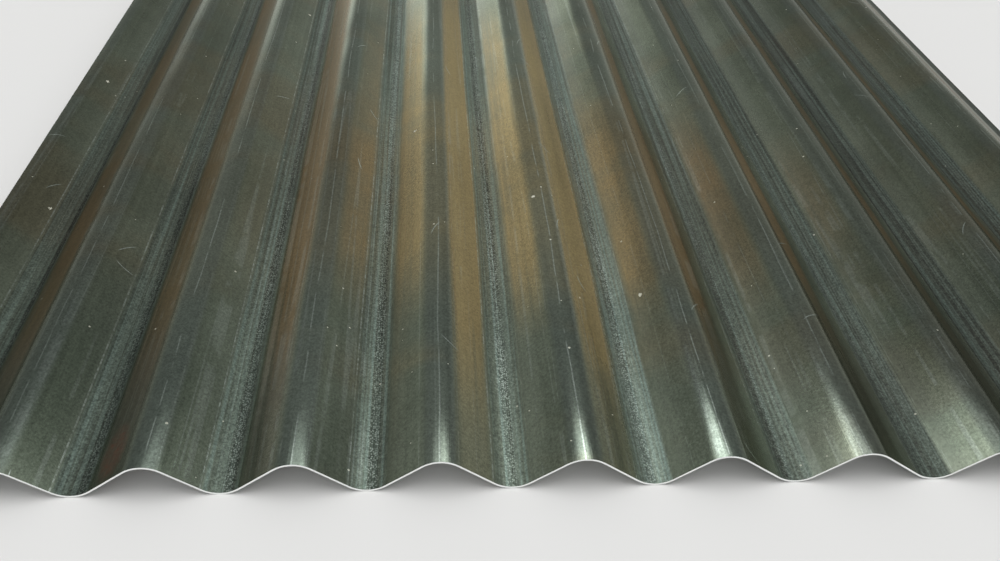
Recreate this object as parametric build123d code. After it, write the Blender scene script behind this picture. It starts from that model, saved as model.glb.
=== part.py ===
from build123d import *
import math
import os

# Corrugated sheet of galvanised steel, rolled from one flat strip.
# The sheet lies on the undersides of its troughs, at z = 0. Its ridges run along Y,
# the waves follow each other across X, and the origin is under the middle of the sheet.

# Sheet
thickness = 1.0
sheet_length = 2440.0

# Corrugation, measured half way through the steel
pitch = 76.2
wave_depth = 19.05
bend_radius = 17.0
half_waves = 21


def flank_slope():
    """Slope, in degrees, of the flat flank that runs from a crest's bend into the next trough's bend."""
    half_pitch = pitch / 2
    rise_between_centres = 2 * bend_radius - wave_depth
    centre_distance = math.hypot(half_pitch, rise_between_centres)
    slope = math.asin(2 * bend_radius / centre_distance)
    slope -= math.atan2(rise_between_centres, half_pitch)
    return math.degrees(slope)


def flank_length(slope):
    """Length of the flat flank between the two bends of a half wave."""
    across_bends = 2 * bend_radius * math.sin(math.radians(slope))
    return (pitch / 2 - across_bends) / math.cos(math.radians(slope))


def surface_line(edge_height, crest_radius, trough_radius):
    """Line of one surface across the sheet, from its side edge on a crest to the one in a trough."""
    slope = flank_slope()
    straight = flank_length(slope)
    point = (-half_waves * pitch / 4, edge_height)
    edges = []
    for index in range(half_waves):
        # The line falls from a crest on even half waves and climbs out of a trough on odd ones.
        falls = index % 2 == 0
        turn = -slope if falls else slope
        first_radius = crest_radius if falls else trough_radius
        last_radius = trough_radius if falls else crest_radius
        bend_out = JernArc(point, (1, 0), first_radius, turn)
        flank = PolarLine(bend_out @ 1, straight, direction=bend_out % 1)
        bend_in = JernArc(flank @ 1, flank % 1, last_radius, -turn)
        edges += [bend_out, flank, bend_in]
        point = bend_in @ 1
    return Wire(edges)


def sheet_section():
    """End section of the sheet, with the steel's thickness shared by the two sides of the bends' radius."""
    outer_radius = bend_radius + thickness / 2
    inner_radius = bend_radius - thickness / 2
    upper = surface_line(wave_depth + thickness, outer_radius, inner_radius)
    lower = surface_line(wave_depth, inner_radius, outer_radius)
    raised_edge = Line(upper @ 0, lower @ 0)
    lowered_edge = Line(upper @ 1, lower @ 1)
    return make_face([upper, lower, raised_edge, lowered_edge])


def corrugated_sheet():
    """The sheet, its section carried straight along its length."""
    section = Plane.XZ * sheet_section()
    return extrude(section, amount=sheet_length / 2, both=True)


os.makedirs("parts", exist_ok=True)
export_step(corrugated_sheet(), "parts/corrugated_sheet.step")
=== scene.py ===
import math

import bpy
from bpy.props import FloatProperty, FloatVectorProperty, IntProperty, PointerProperty
from mathutils import Matrix, Vector


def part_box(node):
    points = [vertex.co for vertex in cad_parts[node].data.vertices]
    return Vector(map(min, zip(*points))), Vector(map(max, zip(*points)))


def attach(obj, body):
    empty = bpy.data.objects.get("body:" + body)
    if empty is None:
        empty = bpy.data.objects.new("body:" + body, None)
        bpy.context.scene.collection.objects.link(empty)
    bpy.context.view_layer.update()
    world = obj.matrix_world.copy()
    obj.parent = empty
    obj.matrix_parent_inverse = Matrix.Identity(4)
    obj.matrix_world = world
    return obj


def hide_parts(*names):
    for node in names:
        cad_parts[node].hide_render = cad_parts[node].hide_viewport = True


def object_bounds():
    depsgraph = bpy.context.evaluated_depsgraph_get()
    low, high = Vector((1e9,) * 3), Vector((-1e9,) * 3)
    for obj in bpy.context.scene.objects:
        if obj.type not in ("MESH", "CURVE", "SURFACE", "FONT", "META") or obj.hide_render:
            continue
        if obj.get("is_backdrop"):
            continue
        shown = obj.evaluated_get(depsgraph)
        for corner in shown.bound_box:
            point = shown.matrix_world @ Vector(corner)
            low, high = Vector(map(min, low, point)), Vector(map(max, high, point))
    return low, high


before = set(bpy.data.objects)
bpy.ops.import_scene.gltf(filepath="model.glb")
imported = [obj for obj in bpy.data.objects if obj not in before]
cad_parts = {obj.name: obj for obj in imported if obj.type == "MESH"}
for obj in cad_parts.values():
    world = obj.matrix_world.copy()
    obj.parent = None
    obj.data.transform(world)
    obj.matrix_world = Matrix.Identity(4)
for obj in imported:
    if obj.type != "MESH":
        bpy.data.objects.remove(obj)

bl_info = {
    "name": "Corrugated sheet",
    "version": (1, 0, 0),
    "blender": (4, 5, 0),
    "location": "3D View > Sidebar > Sheet",
    "description": "Rolls a galvanised steel sheet into waves and sets it in a plain studio",
    "category": "Object",
}

SHEET_NODE = "corrugated_sheet"
CAD_LOW, CAD_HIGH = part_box(SHEET_NODE)
CAD_SIZE = CAD_HIGH - CAD_LOW
CAD_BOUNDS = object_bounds()
STRIP = "strip"
WHITE = (1.0, 1.0, 1.0)

# Noises of the zinc: cell across and along the strip in metres, layer, detail and roughness of each.
NOISES = {
    "grain": (0.0007, 0.05, 1.0, 3.0, 0.5),
    "brushed": (0.004, 0.5, 2.0, 3.0, 0.5),
    "clouds": (0.09, 0.16, 3.0, 5.0, 0.6),
    "lengths": (0.35, 0.28, 4.0, 2.0, 0.5),
    "fine lines": (0.0011, 0.30, 5.0, 2.0, 0.5),
    "wear": (0.03, 0.10, 7.0, 3.0, 0.5),
    "stray": (1.0, 0.12, 8.0, 2.0, 0.5),
    "breaks": (0.02, 0.03, 9.0, 3.0, 0.5),
    "mottle": (0.0012, 0.0015, 12.0, 3.0, 0.7),
    "bloom": (0.003, 0.003, 13.0, 4.0, 0.7),
    "broad lines": (0.0045, 0.60, 14.0, 1.0, 0.5),
    "beads": (0.004, 0.0028, 15.0, 1.0, 0.5),
    "drag": (0.011, 1.4, 16.0, 1.0, 0.5),
    # Painted golden reflection on the flanks.
    "haze": (0.16, 0.10, 17.0, 3.0, 0.5),
}

# Scattered marks: cell across and along the strip in metres, layer and randomness of each.
SCATTERS = {
    "specks": (0.0011, 0.0014, 6.0, 0.85),
    "scratches": (0.085, 0.085, 10.0, 1.0),
    "crumbs": (0.0075, 0.0075, 11.0, 1.0),
}

# How far from a trough's middle a mark ends, and where it is full, in metres across the strip.
BAND_REACH = (0.0112, 0.0082)
# The two below bound the painted reflection: warm surroundings mirrored in one flank of each wave, laid
# into the colour.
REFLECTION_TOP = (0.037, 0.029)
REFLECTION_FOOT = (0.0092, 0.0150)

# How far from its own line a mark ends, and where it is full, in metres.
DOT_CROWD = (0.0048, 0.0014)
CREST_LINE = (0.00055, 0.00020)
BAND_LINE = (0.0007, 0.0002)
SHOULDER_LINE = (0.0022, 0.0004)
SCRATCH_WIDTH = (0.00042, 0.00018)
SCRATCH_LENGTH = (0.009, 0.004)

# Where the dots crowd past a trough's middle: by the raised side edge, and how much less a wave further on.
CROWD_FIRST = 0.0095
CROWD_STEP = 0.0021

# How far past the crest the shoulder's line lies, how far a crest's line strays, and how a scratch bends.
SHOULDER_PAST_CREST = 0.0075
CREST_LINE_STRAY = 0.004
SCRATCH_BEND = 14

# How much of the bright zinc shows in a full mark of each kind, in the order of painting.
BRIGHT_SHARES = {
    "drag": 0.13,
    "crest line": 0.5,
    "band line": 0.45,
    "shoulder line": 0.22,
    "scratch": 0.8,
}

# Areas of painted warm reflection: middle across the strip and from the near end, half width and half
# length, in metres.
NEAR_PAINTED_REFLECTION = (0.45, 0.285, 0.30, 0.18)
FAR_PAINTED_REFLECTION = (0.37, 0.52, 0.14, 0.20)

# How far from the near end each painted reflection starts to change, and where it has changed, in metres.
REFLECTION_BUILDS = (0.01, 0.13)
RIGHT_REFLECTION_THINS = (0.20, 0.08)
DARK_REFLECTION_BUILDS = (0.17, 0.04)
SHEEN_BUILDS = (0.12, 0.24)
SHEEN_ENDS = (0.55, 0.32)
REFLECTION_PATCHES_END = (0.95, 0.55)

# The reddish bloom: the crest that its flank climbs to, then in metres how far short of that crest and how
# far from the near end its middle lies, and its half width and half length.
BLOOM_CREST = 2
BLOOM_SHORT = 0.022
BLOOM_FROM_END = 0.022
BLOOM_HALF_SIZE = (0.010, 0.026)

# Waves from the raised side edge to where the painted reflection changes flanks, and from there to the wave
# that painted shade leaves brightest.
PARTING_WAVE = 3.6
BRIGHT_WAVE = 1.0

# Relief of the zinc in metres, its tint at a glancing angle, and the roughness of dust.
RELIEF = 0.00006
GLANCING_TINT = (0.74, 0.75, 0.70, 1.0)
DUST_ROUGHNESS = 0.9

# Noises of the handling marks: cells a metre across and along the sheet, layer and detail of each.
HANDLING = {
    "flattened": (2.2, 1.6, 0, 2.0),
    "dents": (16.0, 9.0, 20, 1.0),
    "sway": (3.0, 2.6, 40, 2.0),
    "ripple": (24.0, 13.0, 60, 2.0),
}

# How far apart two seeds lie in those noises.
SEED_STEP = 7.31

# Cut steel: grains a metre, how dark a grain gets, its roughness at least and at most, and its metallic.
CUT_GRAIN = 900.0
CUT_DARKEST = 0.72
CUT_ROUGHNESS = (0.38, 0.58)
CUT_METALLIC = 0.15

# The lamp that shines on the crests: its width and depth, and its middle across the sheet, in metres.
SHINE_SIZE = (1.3, 0.5)
SHINE_SIDE = -0.05

# Rims of that lamp's pattern, in metres from its middle: where each ends, and where it is full.
LOWER_RIM = (0.050, 0.008)
UPPER_RIM = (-0.11, -0.045)
SIDE_RIM = (0.60, 0.40)

# The pale floor's roughness and reflection.
FLOOR_ROUGHNESS = 0.8
FLOOR_SPECULAR = 0.2


class Value:
    """One socket of a node tree. Arithmetic on it adds Math nodes to that tree."""

    def __init__(self, board, socket):
        self.board = board
        self.socket = socket

    def _math(self, operation, *sockets, **settings):
        settings["operation"] = operation
        return self.board.add("ShaderNodeMath", settings, dict(enumerate(sockets)))[0]

    def __add__(self, other):
        return self._math("ADD", self, other)

    def __radd__(self, other):
        return self._math("ADD", other, self)

    def __sub__(self, other):
        return self._math("SUBTRACT", self, other)

    def __rsub__(self, other):
        return self._math("SUBTRACT", other, self)

    def __mul__(self, other):
        return self._math("MULTIPLY", self, other)

    def __rmul__(self, other):
        return self._math("MULTIPLY", other, self)

    def __truediv__(self, other):
        return self._math("DIVIDE", self, other)

    def __rtruediv__(self, other):
        return self._math("DIVIDE", other, self)

    def __neg__(self):
        return self._math("MULTIPLY", self, -1.0)

    def __abs__(self):
        return self._math("ABSOLUTE", self)

    def sin(self):
        return self._math("SINE", self)

    def cos(self):
        return self._math("COSINE", self)

    def floor(self):
        return self._math("FLOOR", self)

    def rounded(self):
        return self._math("ROUND", self)

    def fraction(self):
        return self._math("FRACT", self)

    def least(self, other):
        return self._math("MINIMUM", self, other)

    def most(self, other):
        return self._math("MAXIMUM", self, other)

    def over(self, limit):
        """1 where the value is over a limit, 0 elsewhere."""
        return self._math("GREATER_THAN", self, limit)

    def held(self):
        """The value kept between 0 and 1."""
        return self._math("ADD", self, 0.0, use_clamp=True)

    def ramp(self, start, end, low=0.0, high=1.0):
        """A smooth change from low at start to high at end, level outside them."""
        settings = {"interpolation_type": "SMOOTHSTEP", "clamp": True}
        sockets = {"Value": self, 1: start, 2: end, 3: low, 4: high}
        return self.board.add("ShaderNodeMapRange", settings, sockets)[0]


class Board:
    """A node tree under construction, filled from left to right."""

    def __init__(self, tree):
        self.tree = tree
        self.count = 0

    def add(self, kind, settings=None, sockets=None):
        """Adds a node: its settings first, then the values or links of its sockets. Gives its outputs."""
        node = self.tree.nodes.new(kind)
        node.location = (180.0 * self.count, 0.0)
        self.count += 1
        for name, setting in (settings or {}).items():
            setattr(node, name, setting)
        for name, value in (sockets or {}).items():
            self.feed(node.inputs[name], value)
        return Outputs(self, node)

    def feed(self, socket, value):
        """Links a value to a socket, or sets a plain number, vector or colour on it."""
        if isinstance(value, Value):
            self.tree.links.new(value.socket, socket)
        else:
            socket.default_value = value

    def mix(self, share, first, second):
        """A colour between first and second, at the share of the second."""
        settings = {"data_type": "RGBA", "clamp_factor": True}
        return self.add("ShaderNodeMix", settings, {0: share, 6: first, 7: second})[2]

    def between(self, share, first, second):
        """A number between first and second, at the share of the second."""
        return self.add("ShaderNodeMix", {"data_type": "FLOAT"}, {0: share, 2: first, 3: second})[0]

    def toned(self, colour, tone):
        """A colour made darker or lighter by a number."""
        grey = self.add("ShaderNodeCombineColor", None, {0: tone, 1: tone, 2: tone})[0]
        settings = {"data_type": "RGBA", "blend_type": "MULTIPLY"}
        return self.add("ShaderNodeMix", settings, {0: 1.0, 6: colour, 7: grey})[2]

    def vector(self, x, y, z):
        return self.add("ShaderNodeCombineXYZ", None, {0: x, 1: y, 2: z})[0]

    def parts(self, vector):
        """The x, y and z of a vector."""
        separated = self.add("ShaderNodeSeparateXYZ", None, {0: vector})
        return separated[0], separated[1], separated[2]

    def difference(self, first, second):
        """The vector to first from second."""
        settings = {"operation": "SUBTRACT"}
        return self.add("ShaderNodeVectorMath", settings, {0: first, 1: second})["Vector"]

    def along(self, vector, axis):
        """How far a vector goes along an axis."""
        settings = {"operation": "DOT_PRODUCT"}
        return self.add("ShaderNodeVectorMath", settings, {0: vector, 1: tuple(axis)})["Value"]

    def noise(self, place, scale, detail, roughness=0.5):
        """Soft noise about 0.5 at a place."""
        sockets = {"Vector": place, "Scale": scale, "Detail": detail, "Roughness": roughness}
        return self.add("ShaderNodeTexNoise", None, sockets)[0]


class Outputs:
    """The outputs of a node, by place or name."""

    def __init__(self, board, node):
        self.board = board
        self.node = node

    def __getitem__(self, name):
        return Value(self.board, self.node.outputs[name])


def rgba(colour):
    return (*colour, 1.0)


class SheetShape(bpy.types.PropertyGroup):
    """Sizes of the sheet"""

    half_waves: IntProperty(
        name="Half waves",
        description="Crests to troughs across the sheet",
        default=21,
        min=1,
    )
    bend_radius: FloatProperty(
        name="Bend radius",
        description="Radius of crests and troughs, half way through the steel",
        default=0.017,
        subtype="DISTANCE",
        unit="LENGTH",
        precision=4,
    )
    thickness: FloatProperty(
        name="Thickness",
        description="Thickness of the steel",
        default=0.001,
        subtype="DISTANCE",
        unit="LENGTH",
        precision=4,
    )
    bend_steps: IntProperty(
        name="Bend steps",
        description="Faces across half a crest or trough",
        default=5,
        min=2,
    )
    flank_steps: IntProperty(
        name="Flank steps",
        description="Faces across a straight flank",
        default=3,
        min=1,
    )
    length_steps: IntProperty(
        name="Length steps",
        description="Faces along the sheet",
        default=160,
        min=2,
    )
    flattening: FloatProperty(
        name="Flattening",
        description="Largest share of the depth that handling has pressed out of the waves",
        default=0.07,
        subtype="FACTOR",
        min=0.0,
        max=0.5,
    )
    wander: FloatProperty(
        name="Wander",
        description="How far the ridges stray sideways",
        default=0.0016,
        subtype="DISTANCE",
        unit="LENGTH",
        precision=4,
    )
    ripple: FloatProperty(
        name="Ripple",
        description="Height of the shallow ripples that wave the reflections",
        default=0.0006,
        subtype="DISTANCE",
        unit="LENGTH",
        precision=4,
    )
    seed: IntProperty(
        name="Seed",
        description="Picks another set of dents",
        default=4,
    )


class ZincFinish(bpy.types.PropertyGroup):
    """Colours and wear of the zinc, and colours of its painted reflection"""

    zinc: FloatVectorProperty(
        name="Zinc",
        description="Dark areas of the zinc",
        default=(0.108, 0.134, 0.101),
        subtype="COLOR",
    )
    pale_zinc: FloatVectorProperty(
        name="Pale zinc",
        description="Lighter areas of the zinc",
        default=(0.146, 0.176, 0.133),
        subtype="COLOR",
    )
    # The three colours below are painted reflection of warm surroundings in the flanks.
    warm_reflection: FloatVectorProperty(
        name="Warm reflection",
        description="Painted golden reflection on the flanks of the middle waves",
        default=(0.285, 0.228, 0.112),
        subtype="COLOR",
    )
    brown_reflection: FloatVectorProperty(
        name="Brown reflection",
        description="The painted reflection towards the side edges",
        default=(0.165, 0.120, 0.060),
        subtype="COLOR",
    )
    dark_reflection: FloatVectorProperty(
        name="Dark reflection",
        description="The painted reflection of the outer waves by the near end",
        default=(0.140, 0.126, 0.096),
        subtype="COLOR",
    )
    crest: FloatVectorProperty(
        name="Crest",
        description="Zinc rubbed clean on the crests",
        default=(0.134, 0.166, 0.150),
        subtype="COLOR",
    )
    rolled: FloatVectorProperty(
        name="Rolled band",
        description="Zinc that the rollers dulled",
        default=(0.126, 0.173, 0.151),
        subtype="COLOR",
    )
    bright: FloatVectorProperty(
        name="Bright zinc",
        description="Dots, lines and scratches",
        default=(0.42, 0.48, 0.44),
        subtype="COLOR",
    )
    dust: FloatVectorProperty(
        name="Dust",
        description="Pale crumbs",
        default=(0.55, 0.55, 0.46),
        subtype="COLOR",
    )
    cut: FloatVectorProperty(
        name="Cut edge",
        description="Bare sheared steel",
        default=(0.88, 0.90, 0.88),
        subtype="COLOR",
    )
    rust: FloatVectorProperty(
        name="Rust",
        description="Faint bloom of rust",
        default=(0.22, 0.075, 0.045),
        subtype="COLOR",
    )


class StudioSetup(bpy.types.PropertyGroup):
    """Camera, floor and light"""

    lens: FloatProperty(
        name="Lens",
        description="Focal length on a 36 mm sensor",
        default=38.4,
        unit="CAMERA",
    )
    camera_height: FloatProperty(
        name="Camera height",
        description="Height over the crests",
        default=0.3895,
        subtype="DISTANCE",
        unit="LENGTH",
    )
    camera_back: FloatProperty(
        name="Camera back",
        description="Distance in front of the near end",
        default=0.4021,
        subtype="DISTANCE",
        unit="LENGTH",
    )
    camera_side: FloatProperty(
        name="Camera side",
        description="Place across the sheet",
        default=-0.0992,
        subtype="DISTANCE",
        unit="LENGTH",
    )
    tilt: FloatProperty(
        name="Tilt",
        description="Angle under the horizon",
        default=math.radians(34.4),
        subtype="ANGLE",
        unit="ROTATION",
    )
    turn: FloatProperty(
        name="Turn",
        description="Turn from the ridges to the right",
        default=math.radians(4.44),
        subtype="ANGLE",
        unit="ROTATION",
    )
    roll: FloatProperty(
        name="Roll",
        description="Roll of the picture",
        default=math.radians(2.0),
        subtype="ANGLE",
        unit="ROTATION",
    )
    floor: FloatVectorProperty(
        name="Floor",
        description="Colour of the floor",
        default=(0.78, 0.78, 0.77),
        subtype="COLOR",
    )
    floor_half: FloatProperty(
        name="Floor half",
        description="Half the side of the floor",
        default=150.0,
        subtype="DISTANCE",
        unit="LENGTH",
    )
    shine_distance: FloatProperty(
        name="Shine distance",
        description="From the near end's crests to the lamp that shines on them",
        default=0.36,
        subtype="DISTANCE",
        unit="LENGTH",
    )
    shine_rise: FloatProperty(
        name="Shine rise",
        description="Height angle of that lamp",
        default=math.radians(45.0),
        subtype="ANGLE",
        unit="ROTATION",
    )
    shine_spread: FloatProperty(
        name="Shine spread",
        description="Angle that the lamp's light fills",
        default=math.radians(140.0),
        subtype="ANGLE",
        unit="ROTATION",
    )
    shine_level: FloatProperty(
        name="Shine level",
        description="Brightness of the lamp's surface before its pattern",
        default=2.0,
        min=0.0,
    )


class Wave:
    """Sizes worked out from the sheet's box, its bend radius and its thickness."""

    def __init__(self, shape):
        self.half_pitch = CAD_SIZE.x / shape.half_waves
        self.depth = CAD_SIZE.z - shape.thickness
        self.radius = shape.bend_radius
        rise = 2 * self.radius - self.depth
        self.slope = math.asin(2 * self.radius / math.hypot(self.half_pitch, rise))
        self.slope -= math.atan2(rise, self.half_pitch)
        across_bends = 2 * self.radius * math.sin(self.slope)
        self.flank = (self.half_pitch - across_bends) / math.cos(self.slope)
        self.strip_pitch = 2 * (2 * self.radius * self.slope + self.flank)


def new_material(name):
    """A material, the board of its nodes and its shader."""
    material = bpy.data.materials.new(name)
    material.use_nodes = True
    return material, Board(material.node_tree), material.node_tree.nodes["Principled BSDF"]


class StripPlace:
    """Where a point of the sheet lay on the flat strip, told from the nearest crest and trough."""

    def __init__(self, board, wave):
        self.board = board
        strip = board.add("ShaderNodeAttribute", {"attribute_name": STRIP})["Vector"]
        self.across, self.along, self.side = board.parts(strip)
        self.waves = self.across / wave.strip_pitch
        self.wave_number = self.waves.floor()
        self.past_trough = (self.waves.fraction() - 0.5) * wave.strip_pitch
        self.past_crest = ((self.waves + 0.5).fraction() - 0.5) * wave.strip_pitch
        self.from_end = self.along - CAD_LOW.y
        self.from_trough = abs(self.past_trough)
        self.from_crest = abs(self.past_crest)

    def grid(self, cell_across, cell_along, layer):
        """A place measured in cells, other on each layer and on each side of the sheet."""
        level = self.side * 5 + layer
        return self.board.vector(self.across / cell_across, self.along / cell_along, level)

    def area(self, across, from_end, half_width, half_length):
        """A soft oval area of the strip, 1 in its middle."""
        off_across = (self.across - across) / half_width
        off_along = (self.from_end - from_end) / half_length
        return (off_across * off_across + off_along * off_along).ramp(1.0, 0.1)

    def noise(self, name):
        """One of the zinc's noises, about 0.5."""
        cell_across, cell_along, layer, detail, roughness = NOISES[name]
        return self.board.noise(self.grid(cell_across, cell_along, layer), 1.0, detail, roughness)

    def scatter(self, name):
        """Scattered cells: distance to the middle, two random numbers, and the way from the middle."""
        cell_across, cell_along, layer, randomness = SCATTERS[name]
        grid = self.grid(cell_across, cell_along, layer)
        sockets = {"Vector": grid, "Scale": 1.0, "Randomness": randomness}
        cell = self.board.add("ShaderNodeTexVoronoi", {"voronoi_dimensions": "2D"}, sockets)
        chances = self.board.add("ShaderNodeSeparateColor", None, {0: cell["Color"]})
        return cell["Distance"], chances[0], chances[1], self.board.difference(grid, cell["Position"])


class ZincMarks:
    """Where each mark of the zinc, and each painted reflection and shade, lies on the strip, mostly as a
    share from 0 to 1.
    """

    def __init__(self, board, wave):
        place = StripPlace(board, wave)
        self.board = board
        self.place = place
        self.grain = place.noise("grain")
        self.brushed = place.noise("brushed")
        self.clouds = place.noise("clouds")
        self.lengths = place.noise("lengths")
        self.mottle = place.noise("mottle") - 0.5
        one_a_wave = {"W": place.wave_number + place.side * 40}
        self.own = board.add("ShaderNodeTexWhiteNoise", {"noise_dimensions": "1D"}, one_a_wave)[0]
        self.waves_right = place.waves - PARTING_WAVE
        self.to_right = self.waves_right.ramp(1.8, 2.8)
        self.aside = abs(self.waves_right - BRIGHT_WAVE)
        # Areas where warm reflection is painted onto both flanks; the far one also lightens the tone as a
        # painted highlight.
        self.far_painted_reflection = place.area(*FAR_PAINTED_REFLECTION)
        self.painted_reflection_area = place.area(*NEAR_PAINTED_REFLECTION).most(self.far_painted_reflection)
        self.warm_reflection_amount = self.lengths.ramp(0.40, 0.60).most(self.painted_reflection_area)
        # Painted reflection of brown and golden surroundings on the flanks.
        self.painted_reflection = self.find_painted_reflection()
        # Painted golden reflection a short way from the near end, strongest on the middle waves.
        self.painted_sheen = place.from_end.ramp(*SHEEN_BUILDS) * place.from_end.ramp(*SHEEN_ENDS)
        self.middle_painted_sheen = self.painted_sheen * self.aside.ramp(3.0, 1.2)
        self.band = place.from_trough.ramp(*BAND_REACH)
        self.fine_lines = place.noise("fine lines")
        broad_lines = place.noise("broad lines").ramp(0.42, 0.60)
        self.lines = self.fine_lines.ramp(0.44, 0.60) * 0.6 + broad_lines * 0.4
        self.crowd, self.specks, self.dots = self.find_dots()
        self.broken = place.noise("breaks").ramp(0.40, 0.52)
        self.scratch = self.find_scratches()
        self.dust = self.find_dust()
        self.rust = self.find_bloom(wave)

    def flank(self, past_trough, raised=0.0):
        """The flank on one side of a trough. Its foot lies higher where it is raised."""
        ends, full = REFLECTION_FOOT
        foot = past_trough.ramp(raised * 0.008 + ends, raised * 0.010 + full)
        return past_trough.ramp(*REFLECTION_TOP) * foot

    def find_painted_reflection(self):
        """Painted reflection of brown surroundings: on the flanks that face the nearer side edge, and on
        both flanks in the areas of painted warm reflection.
        """
        from_end = self.place.from_end
        falling = self.flank(-self.place.past_trough, self.to_right)
        rising = self.flank(self.place.past_trough)
        outer = falling * self.waves_right.ramp(-0.4, 0.5) + rising * self.waves_right.ramp(0.3, -0.6)
        painted_reflection = outer * (0.62 + 0.28 * self.warm_reflection_amount + 0.1 * self.own)
        painted_reflection = painted_reflection * from_end.ramp(*REFLECTION_BUILDS, self.aside.ramp(0.9, 1.6, 0.25, 0.45), 1.0)
        painted_reflection = painted_reflection * (1 - self.to_right * from_end.ramp(*RIGHT_REFLECTION_THINS) * 0.5)
        reflected_on_both_flanks = (falling + rising) * self.painted_reflection_area * self.clouds.ramp(0.35, 0.6, 0.4, 0.8)
        return (painted_reflection + reflected_on_both_flanks) * self.brushed.ramp(0.30, 0.50, 0.7, 1.0)

    def find_dots(self):
        """Dots of the rollers' band. They crowd towards a line that moves over from trough to trough."""
        middle = CROWD_FIRST - CROWD_STEP * self.place.waves
        crowd = abs(self.place.past_trough - middle).ramp(*DOT_CROWD)
        distance, chance, _, _ = self.place.scatter("specks")
        specks = distance.ramp(0.55, 0.20) * (0.7 - chance).over(0.0)
        wear = self.place.noise("wear").ramp(0.36, 0.56, 0.45, 1.0)
        return crowd, specks, specks * self.band * (0.18 + 0.82 * crowd) * wear

    def find_scratches(self):
        """One short curved scratch in the middle of some wide cells."""
        cell, _, _, _ = SCATTERS["scratches"]
        _, chance, turn, way = self.place.scatter("scratches")
        x, y, _ = self.board.parts(way)
        angle = turn * 2.4 + 0.3
        down = (x * angle.cos() + y * angle.sin()) * cell
        off = (y * angle.cos() - x * angle.sin()) * cell + down * down * SCRATCH_BEND
        scratch = abs(off).ramp(*SCRATCH_WIDTH) * abs(down).ramp(*SCRATCH_LENGTH)
        return scratch * (0.4 - chance).over(0.0)

    def find_dust(self):
        """Small crumbs, and a few larger clumps."""
        distance, chance, size, _ = self.place.scatter("crumbs")
        crumb = (distance / (0.4 + size)).ramp(0.09, 0.05) * (0.011 - chance).over(0.0)
        clump = (distance + (self.grain - 0.5) * 0.5).ramp(0.22, 0.15) * (0.0012 - size).over(0.0)
        return (crumb * 0.7 + clump).held()

    def find_bloom(self, wave):
        """A faint reddish bloom on the flank that climbs to one crest, close to the near end."""
        middle = wave.strip_pitch * BLOOM_CREST - BLOOM_SHORT
        bloom = self.place.area(middle, BLOOM_FROM_END, *BLOOM_HALF_SIZE)
        return bloom * self.place.noise("bloom").ramp(0.30, 0.75, 0.15, 0.75)


def reflection_colour(board, finish, marks):
    """Colour of the painted reflection: golden in the middle waves, brown towards the side edges and dark
    umber by the near end.
    """
    from_end = marks.place.from_end
    colour = board.mix(marks.aside.ramp(0.5, 1.8), rgba(finish.warm_reflection), rgba(finish.brown_reflection))
    by_end = from_end.ramp(*DARK_REFLECTION_BUILDS)
    return board.mix(marks.aside.ramp(0.9, 2.0) * by_end, colour, rgba(finish.dark_reflection))


def sheet_colour(board, finish, marks):
    """Cloudy zinc, cleaner on the crests, painted brown and golden reflection on the flanks, and dulled by
    the rollers in the bands.
    """
    place = marks.place
    colour = board.mix(marks.clouds.ramp(0.35, 0.65), rgba(finish.zinc), rgba(finish.pale_zinc))
    colour = board.mix(place.from_crest.ramp(0.011, 0.005) * 0.55, colour, rgba(finish.crest))
    # Painted golden reflection over the flanks, added to the painted brown and golden reflection of the
    # flank marks.
    haze = place.noise("haze").ramp(0.46, 0.64, 0.03, 0.30) + marks.painted_sheen * 0.08 + marks.middle_painted_sheen * 0.26
    reflection_patches = marks.lengths.ramp(0.42, 0.60, 0.25, 1.0).most(place.from_end.ramp(*REFLECTION_PATCHES_END))
    reflection_share = (marks.painted_reflection * reflection_patches + haze).held()
    colour = board.mix(reflection_share, colour, reflection_colour(board, finish, marks))
    dulled = (0.25 + 0.75 * marks.lines) * (0.7 + 0.3 * marks.own)
    return board.mix(marks.band * dulled, colour, rgba(finish.rolled))


def bright_marks(board, finish, marks, colour):
    """Dots in the bands, brush drags, thin lines on crests, bands and shoulders, and scratches."""
    place = marks.place
    band_edge, _ = BAND_REACH
    dots = marks.dots * (0.33 + 0.27 * marks.own) * marks.aside.ramp(1.5, 4.0, 1.0, 0.7)
    colour = board.mix(dots, colour, rgba(finish.bright))
    drag = abs(place.noise("drag") - 0.5).ramp(0.022, 0.006)
    stray = (place.noise("stray") - 0.5) * CREST_LINE_STRAY
    crest_line = abs(place.past_crest - stray).ramp(*CREST_LINE) * marks.own.ramp(0.1, 0.5, 0.35, 1.0)
    beads = place.noise("beads").ramp(0.42, 0.58, 0.25, 1.0)
    band_line = abs(place.past_trough + band_edge).ramp(*BAND_LINE) * beads
    shoulder_line = abs(place.past_crest - SHOULDER_PAST_CREST).ramp(*SHOULDER_LINE)
    thin_marks = {
        "drag": drag * marks.broken,
        "crest line": crest_line * marks.broken,
        "band line": band_line * (0.4 + 0.6 * marks.broken),
        "shoulder line": shoulder_line * marks.warm_reflection_amount * marks.own,
        "scratch": marks.scratch,
    }
    for name, most in BRIGHT_SHARES.items():
        colour = board.mix(thin_marks[name] * most, colour, rgba(finish.bright))
    return colour


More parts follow.
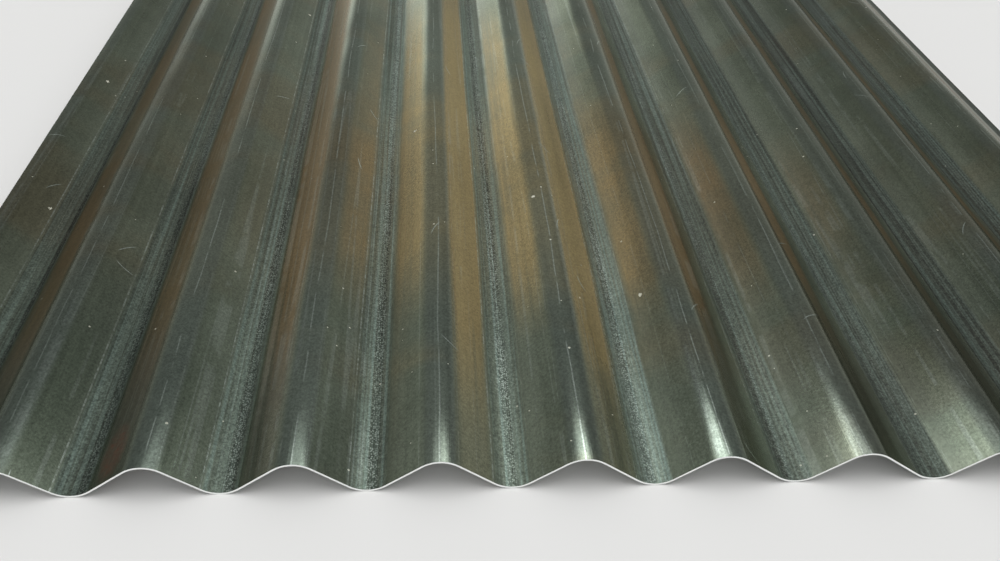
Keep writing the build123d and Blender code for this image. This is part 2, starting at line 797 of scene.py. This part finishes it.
def sheet_tone(marks):
    """Light and dark over the colours: grain, brush marks and streaked bands, with painted shade on the
    outer shoulders, on the bands towards the side edges and on the side waves, and painted light on the
    middle waves.
    """
    place = marks.place
    # Painted shade: a darker strip just past each crest, on the side that faces the nearer side edge.
    outwards = place.past_crest * marks.waves_right.ramp(-0.2, 0.4, -1.0, 1.0)
    shoulder_shade = outwards.ramp(0.002, 0.006) * outwards.ramp(0.015, 0.010)
    between_dots = (0.36 - marks.to_right * 0.26) * marks.crowd * (1 - marks.specks)
    band_streaks_and_shade = (marks.lines - 0.5) * 0.45 + marks.mottle - between_dots
    # Painted shade: the bands darker towards the side edges and on the right.
    band_streaks_and_shade = band_streaks_and_shade - marks.aside.ramp(1.0, 3.6) * 0.22 - marks.to_right * 0.14
    tone = 0.73 + marks.clouds * 0.3 + marks.grain * 0.22 + (marks.brushed - 0.5) * 0.45
    # The far area of painted reflection also lightens the tone, a painted highlight.
    tone = tone + marks.mottle * 1.6 + marks.far_painted_reflection * 0.25
    tone = tone * place.from_crest.ramp(0.004, 0.013, 0.90, 1.0) * (1 - shoulder_shade * 0.12)
    tone = tone * (1 + marks.band * (band_streaks_and_shade - 0.15))
    # Painted shade towards the side edges and painted light on the middle waves.
    return tone * marks.aside.ramp(1.5, 4.2, 1.09, 0.80) * (1 + marks.middle_painted_sheen * 0.14)


def zinc_material(finish, wave):
    """Half bright zinc: grain along the sheet, bands dulled by the rollers, painted reflection and shade,
    scratches and dust.
    """
    material, board, shader = new_material("zinc_face")
    marks = ZincMarks(board, wave)
    place = marks.place

    colour = sheet_colour(board, finish, marks)
    colour = bright_marks(board, finish, marks, colour)
    colour = board.toned(colour, sheet_tone(marks))
    colour = board.mix(marks.dust, colour, rgba(finish.dust))
    colour = board.mix(marks.rust, colour, rgba(finish.rust))

    matt = (marks.dust + marks.rust * 0.15).held()
    foot = place.from_trough.ramp(0.026, 0.013) * marks.waves_right.ramp(0.5, 1.8, 0.10, 0.35)
    # Where the reflection is painted in, the zinc is less metallic and rougher.
    reflection_share = marks.painted_reflection * marks.aside.ramp(0.8, 2.0, 0.06, 0.20)
    bare = (1 - matt) * (1 - marks.band * 0.15) * (1 - reflection_share) * (1 - foot)
    polish = place.from_crest.ramp(0.008, 0.016, 0.09, 0.14) + marks.clouds * 0.09
    roughness = polish + marks.band * 0.25 + marks.painted_reflection * 0.12 + marks.aside.ramp(1.4, 3.6) * 0.09
    height = marks.grain * place.from_crest.ramp(0.014, 0.008, 0.10, 0.85) + marks.dots * 0.8
    height = height + marks.dust * 2.0 - marks.scratch * 0.5 + marks.fine_lines * marks.band * 0.3
    bump = board.add("ShaderNodeBump", None, {"Strength": 1.0, "Distance": RELIEF, "Height": height})

    board.feed(shader.inputs["Base Color"], colour)
    board.feed(shader.inputs["Metallic"], bare)
    board.feed(shader.inputs["Roughness"], board.between(matt, roughness, DUST_ROUGHNESS))
    board.feed(shader.inputs["Normal"], bump[0])
    board.feed(shader.inputs["Specular Tint"], GLANCING_TINT)
    return material


def cut_material(finish):
    """Bare steel of the sheared edges."""
    material, board, shader = new_material("cut_edge")
    place = board.add("ShaderNodeTexCoord")["Object"]
    grain = board.noise(place, CUT_GRAIN, 3.0)
    darkest = rgba(tuple(CUT_DARKEST * part for part in finish.cut))
    smooth, coarse = CUT_ROUGHNESS
    board.feed(shader.inputs["Base Color"], board.mix(grain * 0.5, rgba(finish.cut), darkest))
    board.feed(shader.inputs["Roughness"], smooth + grain * (coarse - smooth))
    board.feed(shader.inputs["Metallic"], CUT_METALLIC)
    return material


SHEET_INPUTS = (
    ("Columns", "NodeSocketInt"),
    ("Rows", "NodeSocketInt"),
    ("Bend steps", "NodeSocketInt"),
    ("Flank steps", "NodeSocketInt"),
    ("Half pitch", "NodeSocketFloat"),
    ("Depth", "NodeSocketFloat"),
    ("Bend radius", "NodeSocketFloat"),
    ("Slope", "NodeSocketFloat"),
    ("Flank", "NodeSocketFloat"),
    ("Thickness", "NodeSocketFloat"),
    ("Width", "NodeSocketFloat"),
    ("Length", "NodeSocketFloat"),
    ("Flattening", "NodeSocketFloat"),
    ("Wander", "NodeSocketFloat"),
    ("Ripple", "NodeSocketFloat"),
    ("Seed", "NodeSocketInt"),
    ("Face", "NodeSocketMaterial"),
    ("Edge", "NodeSocketMaterial"),
)


def flat_slab(board, size, on_face):
    """A closed slab one cell thick, smooth on its two faces and sharp round its cut edges."""
    counts = {"Vertices X": size["Columns"] + 1, "Vertices Y": size["Rows"] + 1, "Vertices Z": 2}
    slab = board.add("GeometryNodeMeshCube", None, {"Size": (1.0, 1.0, 1.0), **counts})["Mesh"]
    slab = board.add("GeometryNodeSetShadeSmooth", None, {"Geometry": slab, "Shade Smooth": on_face})[0]
    corner = board.add("GeometryNodeInputMeshEdgeAngle")[0].over(1.0)
    sharp = {"Geometry": slab, "Selection": corner, "Shade Smooth": False}
    return board.add("GeometryNodeSetShadeSmooth", {"domain": "EDGE"}, sharp)[0]


def rolled_section(size, place_across, place_through):
    """Where a point of the slab goes in the section, and how far along the flat strip it lies."""
    bend_steps, flank_steps = size["Bend steps"], size["Flank steps"]
    slope, radius, flank, thick = size["Slope"], size["Bend radius"], size["Flank"], size["Thickness"]
    column = ((place_across + 0.5) * size["Columns"]).rounded()
    steps = 2 * bend_steps + flank_steps
    half_wave = ((column + 0.5) / steps).floor()
    step = column - half_wave * steps
    out = (step / bend_steps).held()
    down = ((step - bend_steps) / flank_steps).held()
    back = ((step - bend_steps - flank_steps) / bend_steps).held()

    left = slope * (1 - back)
    run = radius * ((slope * out).sin() + slope.sin() - left.sin()) + flank * down * slope.cos()
    drop = radius * (1 - (slope * out).cos() + left.cos() - slope.cos()) + flank * down * slope.sin()
    odd = (half_wave * 0.5).fraction() * 2
    falls = 1 - 2 * odd
    tilt = slope * (out - back)
    off = place_through * thick
    height = size["Depth"] * (1 - odd) - falls * drop + thick * 0.5
    x = half_wave * size["Half pitch"] + run - size["Width"] * 0.5 + falls * tilt.sin() * off
    z = height + tilt.cos() * off
    developed = half_wave * (2 * radius * slope + flank) + radius * slope * (out + back) + flank * down
    return x, z, developed


def handled(board, size, x, y, z):
    """Where handling leaves a point: ridges stray, crests are pressed flatter and the steel ripples."""
    noises = {}
    for name, (cells_across, cells_along, layer, detail) in HANDLING.items():
        place = board.vector(x * cells_across, y * cells_along, size["Seed"] * SEED_STEP + layer)
        noises[name] = board.noise(place, 1.0, detail)
    dents = noises["dents"].ramp(0.56, 0.75)
    pressed = size["Flattening"] * (noises["flattened"].ramp(0.3, 0.7) * 0.6 + dents * 0.4)
    ripple = (noises["ripple"] - 0.5) * size["Ripple"]
    top = size["Depth"] + size["Thickness"]
    middle = top * 0.5
    to_side = x * 2 / size["Width"]
    inside = 1 - to_side * to_side
    stray = (noises["sway"] - 0.5) * size["Wander"] * 2 * inside
    height = (middle + (z - middle) * (1 - pressed) + ripple).most(0.0).least(top)
    return board.vector(x + stray, y, height)


def rolling_tree():
    """Geometry nodes that roll a flat slab into arcs joined by straight flanks."""
    tree = bpy.data.node_groups.new("roll_sheet", "GeometryNodeTree")
    tree.interface.new_socket(name="Geometry", in_out="OUTPUT", socket_type="NodeSocketGeometry")
    for name, kind in SHEET_INPUTS:
        tree.interface.new_socket(name=name, in_out="INPUT", socket_type=kind)
    board = Board(tree)
    size = board.add("NodeGroupInput")
    _, _, upright = board.parts(board.add("GeometryNodeInputNormal")[0])
    on_face = abs(upright).over(0.5)
    slab = flat_slab(board, size, on_face)
    across, lengthways, through = board.parts(board.add("GeometryNodeInputPosition")[0])
    x, z, developed = rolled_section(size, across, through)
    y = lengthways * size["Length"]
    marked = board.add(
        "GeometryNodeStoreNamedAttribute",
        {"data_type": "FLOAT_VECTOR", "domain": "POINT"},
        {"Geometry": slab, "Name": STRIP, "Value": board.vector(developed, y, through)},
    )[0]
    moved = {"Geometry": marked, "Position": handled(board, size, x, y, z)}
    rolled = board.add("GeometryNodeSetPosition", None, moved)[0]
    whole = board.add("GeometryNodeRealizeInstances", None, {0: rolled})[0]
    edged = board.add("GeometryNodeSetMaterial", None, {"Geometry": whole, "Material": size["Edge"]})[0]
    faces = {"Geometry": edged, "Selection": on_face, "Material": size["Face"]}
    board.add("NodeGroupOutput", None, {0: board.add("GeometryNodeSetMaterial", None, faces)[0]})
    return tree


class CORRUGATED_OT_roll_sheet(bpy.types.Operator):
    """Roll the galvanised sheet and give it its zinc"""

    bl_idname = "corrugated.roll_sheet"
    bl_label = "Roll sheet"

    def execute(self, context):
        piece = bpy.data.objects.new("rolled_sheet", bpy.data.meshes.new("flat_strip"))
        context.scene.collection.objects.link(piece)
        modifier = piece.modifiers.new("Roll", "NODES")
        modifier.node_group = rolling_tree()
        values = self.input_values(context.scene.sheet_shape, context.scene.zinc_finish)
        for socket in modifier.node_group.interface.items_tree:
            if socket.in_out == "INPUT":
                modifier[socket.identifier] = values[socket.name]
        context.view_layer.update()
        depsgraph = context.evaluated_depsgraph_get()
        rolled = bpy.data.meshes.new_from_object(piece.evaluated_get(depsgraph))
        piece.modifiers.remove(modifier)
        piece.data = rolled
        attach(piece, "root")
        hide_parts(SHEET_NODE)
        return {"FINISHED"}

    def input_values(self, shape, finish):
        """A value for each of the rolling tree's inputs."""
        wave = Wave(shape)
        return {
            "Columns": shape.half_waves * (2 * shape.bend_steps + shape.flank_steps),
            "Rows": shape.length_steps,
            "Bend steps": shape.bend_steps,
            "Flank steps": shape.flank_steps,
            "Half pitch": wave.half_pitch,
            "Depth": wave.depth,
            "Bend radius": wave.radius,
            "Slope": wave.slope,
            "Flank": wave.flank,
            "Thickness": shape.thickness,
            "Width": CAD_SIZE.x,
            "Length": CAD_SIZE.y,
            "Flattening": shape.flattening,
            "Wander": shape.wander,
            "Ripple": shape.ripple,
            "Seed": shape.seed,
            "Face": zinc_material(finish, wave),
            "Edge": cut_material(finish),
        }


class CORRUGATED_OT_set_up_studio(bpy.types.Operator):
    """Lay the floor, hang the lights and place the camera"""

    bl_idname = "corrugated.set_up_studio"
    bl_label = "Set up studio"

    def execute(self, context):
        studio = context.scene.studio_setup
        self.lay_floor(context, studio)
        self.light_room(context)
        self.hang_shine_lamp(context, studio)
        self.place_camera(context, studio)
        context.scene.view_settings.view_transform = "Standard"
        return {"FINISHED"}

    def lay_floor(self, context, studio):
        half = studio.floor_half
        mesh = bpy.data.meshes.new("floor")
        corners = [(-half, -half, 0), (half, -half, 0), (half, half, 0), (-half, half, 0)]
        mesh.from_pydata(corners, [], [(0, 1, 2, 3)])
        floor = bpy.data.objects.new("floor", mesh)
        material, board, shader = new_material("pale_floor")
        board.feed(shader.inputs["Base Color"], rgba(studio.floor))
        board.feed(shader.inputs["Roughness"], FLOOR_ROUGHNESS)
        board.feed(shader.inputs["Specular IOR Level"], FLOOR_SPECULAR)
        mesh.materials.append(material)
        context.scene.collection.objects.link(floor)
        floor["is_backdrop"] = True

    def light_room(self, context):
        """A pale room: even walls, a brighter ceiling, a low glow ahead and a wide one behind."""
        world = bpy.data.worlds.new("studio")
        context.scene.world = world
        world.use_nodes = True
        world.node_tree.nodes.clear()
        board = Board(world.node_tree)
        ray = board.add("ShaderNodeTexCoord")["Generated"]
        _, ahead, up = board.parts(ray)
        walls = up.ramp(0.05, 0.40, 0.68, 0.50) * abs(ahead).ramp(0.3, 0.9, 0.75, 1.0)
        horizon = up.ramp(0.20, 0.08) * 0.76
        ceiling = up.ramp(0.78, 0.95) * 1.85
        low = self.glow(board, ray, bearing=-16.0, elevation=8.0, half_width=20.0, half_height=10.0)
        low = low * ahead.ramp(0.895, 0.955) * 1.6
        wide = self.glow(board, ray, bearing=180.0, elevation=24.0, half_width=60.0, half_height=30.0)
        level = walls.most(horizon) + ceiling + low + wide
        shade = board.add("ShaderNodeBackground", None, {"Color": rgba(WHITE), "Strength": level})[0]
        board.add("ShaderNodeOutputWorld", None, {"Surface": shade})

    def glow(self, board, ray, bearing, elevation, half_width, half_height):
        """A soft oval light in the room, 1 in its middle. All angles are in degrees."""
        turn = Matrix.Rotation(-math.radians(bearing), 3, "Z")
        lift = Matrix.Rotation(math.radians(elevation), 3, "X")
        side, forward, rise = (board.along(ray, axis) for axis in (turn @ lift).col)
        across = side / (forward * math.tan(math.radians(half_width)))
        above = rise / (forward * math.tan(math.radians(half_height)))
        return (across * across + above * above).ramp(1.0, 0.0) * forward.over(0.0)

    def hang_shine_lamp(self, context, studio):
        """A lamp over the near end that shows only as the shine on the crests."""
        width, depth = SHINE_SIZE
        toward = Vector((0.0, math.cos(studio.shine_rise), math.sin(studio.shine_rise)))
        down = Vector((0.0, math.sin(studio.shine_rise), -math.cos(studio.shine_rise)))
        middle = Vector((SHINE_SIDE, CAD_LOW.y, CAD_HIGH.z)) + toward * studio.shine_distance
        lamp = bpy.data.lights.new("shine", "AREA")
        lamp.shape = "RECTANGLE"
        lamp.size = width
        lamp.size_y = depth
        lamp.spread = studio.shine_spread
        lamp.energy = studio.shine_level * math.pi * width * depth
        light = bpy.data.objects.new("shine", lamp)
        facing = (-toward).to_track_quat("-Z", "Y").to_matrix().to_4x4()
        light.matrix_world = Matrix.Translation(middle) @ facing
        light.visible_camera = False
        light.visible_diffuse = False
        context.scene.collection.objects.link(light)
        self.feather(lamp, middle, down)

    def feather(self, lamp, middle, down):
        """The lamp's pattern: brightest just right of its middle, dimmer to the sides, with soft rims."""
        lamp.use_nodes = True
        lamp.node_tree.nodes.clear()
        board = Board(lamp.node_tree)
        off = board.difference(board.add("ShaderNodeNewGeometry")["Position"], tuple(middle))
        across, _, _ = board.parts(off)
        along = board.along(off, down)
        curved = along + across.ramp(-0.10, -0.32) * 0.035 + across.ramp(0.10, 0.36) * 0.030
        rims = curved.ramp(*LOWER_RIM) * along.ramp(*UPPER_RIM) * abs(across).ramp(*SIDE_RIM)
        level = rims * across.ramp(-0.08, 0.06, 0.46, 1.45) * across.ramp(0.10, 0.20, 1.0, 0.36)
        shade = board.add("ShaderNodeEmission", None, {"Color": rgba(WHITE), "Strength": level})[0]
        board.add("ShaderNodeOutputLight", None, {"Surface": shade})

    def place_camera(self, context, studio):
        camera = bpy.data.objects.new("camera", bpy.data.cameras.new("camera"))
        camera.data.lens = studio.lens
        place = (studio.camera_side, CAD_LOW.y - studio.camera_back, CAD_HIGH.z + studio.camera_height)
        turn = Matrix.Rotation(-studio.turn, 4, "Z")
        tilt = Matrix.Rotation(math.pi / 2 - studio.tilt, 4, "X")
        roll = Matrix.Rotation(studio.roll, 4, "Z")
        camera.matrix_world = Matrix.Translation(place) @ turn @ tilt @ roll
        context.scene.collection.objects.link(camera)
        context.scene.camera = camera


class CORRUGATED_PT_panel(bpy.types.Panel):
    """Sizes, finish and studio of the corrugated sheet"""

    bl_idname = "CORRUGATED_PT_panel"
    bl_label = "Corrugated sheet"
    bl_space_type = "VIEW_3D"
    bl_region_type = "UI"
    bl_category = "Sheet"

    def draw(self, context):
        layout = self.layout
        for group in (context.scene.sheet_shape, context.scene.zinc_finish, context.scene.studio_setup):
            box = layout.box()
            for name in group.__annotations__:
                box.prop(group, name)
        layout.operator(CORRUGATED_OT_roll_sheet.bl_idname)
        layout.operator(CORRUGATED_OT_set_up_studio.bl_idname)


GROUPS = {"sheet_shape": SheetShape, "zinc_finish": ZincFinish, "studio_setup": StudioSetup}
CLASSES = (*GROUPS.values(), CORRUGATED_OT_roll_sheet, CORRUGATED_OT_set_up_studio, CORRUGATED_PT_panel)


def register():
    for cls in CLASSES:
        bpy.utils.register_class(cls)
    for name, group in GROUPS.items():
        setattr(bpy.types.Scene, name, PointerProperty(type=group))


def unregister():
    for name in GROUPS:
        delattr(bpy.types.Scene, name)
    for cls in reversed(CLASSES):
        bpy.utils.unregister_class(cls)


def main():
    """Builds everything."""
    register()
    bpy.ops.corrugated.roll_sheet()
    bpy.ops.corrugated.set_up_studio()
    boxes = {"cad": CAD_BOUNDS, "visual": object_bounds()}
    {name: [list(corner) for corner in box] for name, box in boxes.items()}


if __name__ == "__main__":
    main()
